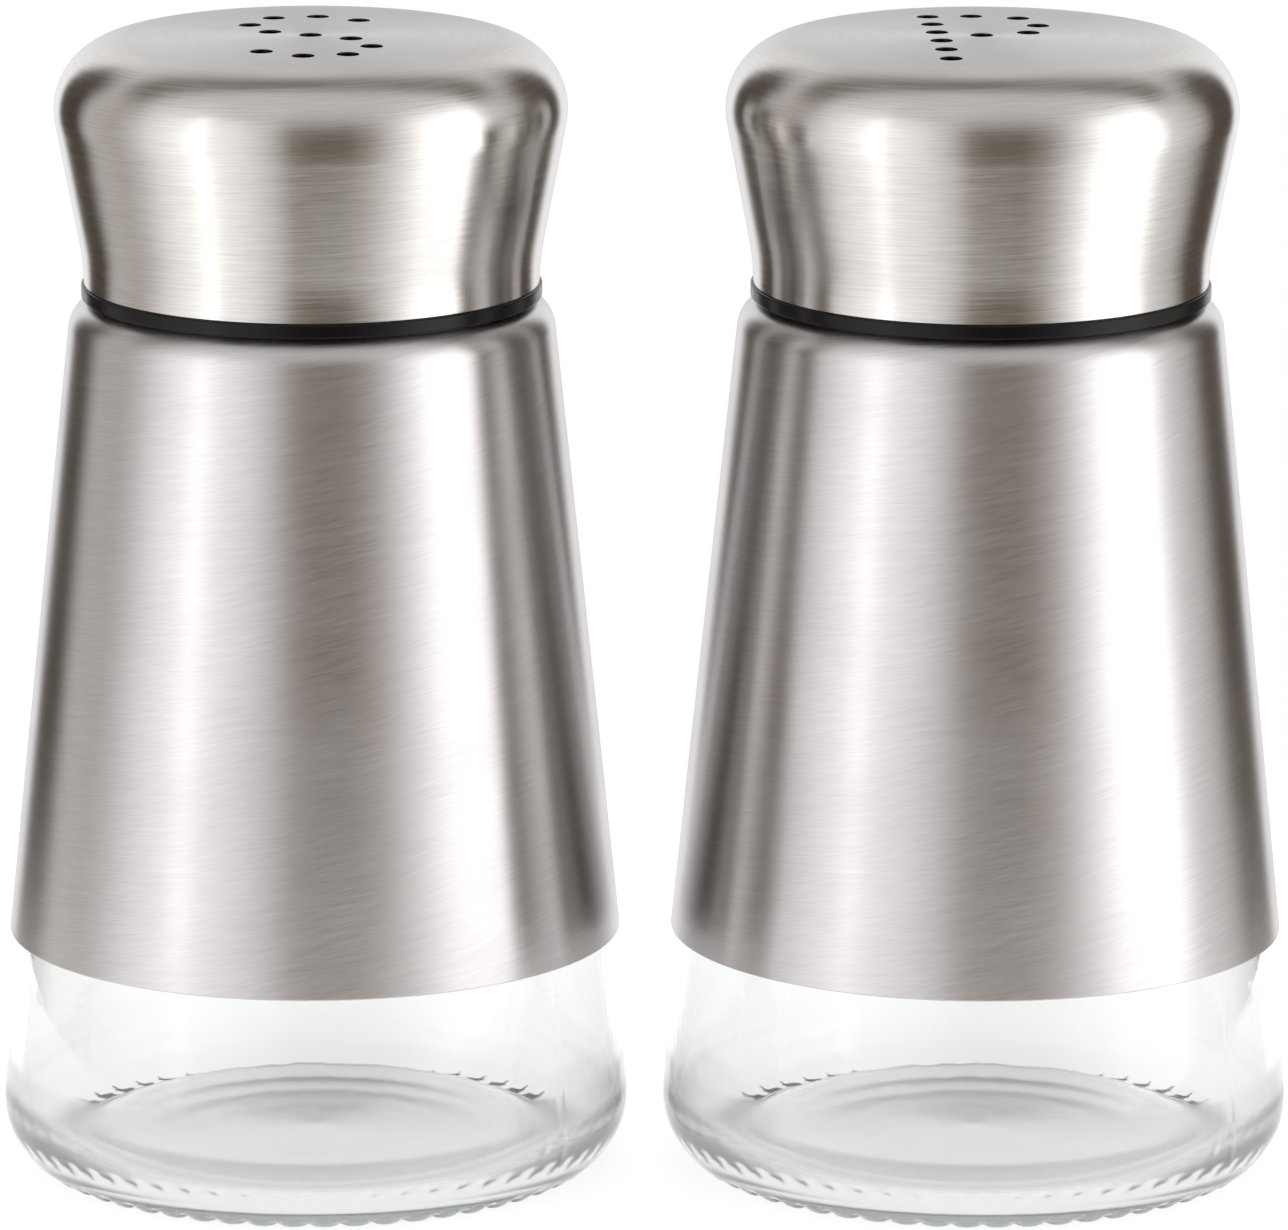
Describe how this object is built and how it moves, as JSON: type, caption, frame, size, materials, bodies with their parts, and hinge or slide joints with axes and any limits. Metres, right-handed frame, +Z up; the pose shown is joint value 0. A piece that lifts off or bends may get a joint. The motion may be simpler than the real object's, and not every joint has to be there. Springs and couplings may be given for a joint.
{
  "type": "salt and pepper shakers",
  "caption": "Glass salt and pepper shakers in conical steel sleeves, with perforated steel screw caps on threaded necks and knurled glass feet.",
  "frame": {"origin": "on the table, midway between the two shakers' axes", "axes": "+X from the salt shaker to the pepper shaker, +Y away from the viewer, +Z up"},
  "size_m": [0.1276, 0.062, 0.1129],
  "materials": {
    "glass": "clear moulded soda-lime glass",
    "sleeve_steel": "brushed round the cone",
    "cap_steel": "brushed in circles on the crown and round the side",
    "black_plastic": "glossy black",
    "gasket": "matt off-white liner"
  },
  "bodies": {
    "salt_shaker": {"salt_glass_bottle": "glass", "salt_steel_sleeve": "sleeve_steel"},
    "salt_gasket": {"salt_cap_gasket": "gasket"},
    "salt_cap": {"salt_cap_insert": "black_plastic", "salt_cap_shell": "cap_steel"},
    "pepper_shaker": {"pepper_glass_bottle": "glass", "pepper_steel_sleeve": "sleeve_steel"},
    "pepper_gasket": {"pepper_cap_gasket": "gasket"},
    "pepper_cap": {"pepper_cap_insert": "black_plastic", "pepper_cap_shell": "cap_steel"}
  },
  "joints": [
    {"name": "salt_cap_rise", "type": "slide", "parent": "salt_shaker", "child": "salt_gasket", "axis": [0, 0, 1], "range_m": [0, 0.0212]},
    {"name": "salt_cap_turn", "type": "hinge", "parent": "salt_gasket", "child": "salt_cap", "pos_m": [-0.0328, 0, 0.0885], "axis": [0, 0, 1], "range_deg": [0, 1800]},
    {"name": "pepper_cap_rise", "type": "slide", "parent": "pepper_shaker", "child": "pepper_gasket", "axis": [0, 0, 1], "range_m": [0, 0.0212]},
    {"name": "pepper_cap_turn", "type": "hinge", "parent": "pepper_gasket", "child": "pepper_cap", "pos_m": [0.0328, 0, 0.0885], "axis": [0, 0, 1], "range_deg": [0, 1800]},
    {"name": "pepper_lift", "type": "slide", "parent": "salt_shaker", "child": "pepper_shaker", "axis": [0, 0, 1], "range_m": [0, 0.12]}
  ],
  "couplings": [
    {"joint": "salt_cap_rise", "follows": "salt_cap_turn", "m_per_rad": 0.00067322},
    {"joint": "pepper_cap_rise", "follows": "pepper_cap_turn", "m_per_rad": 0.00067322}
  ]
}
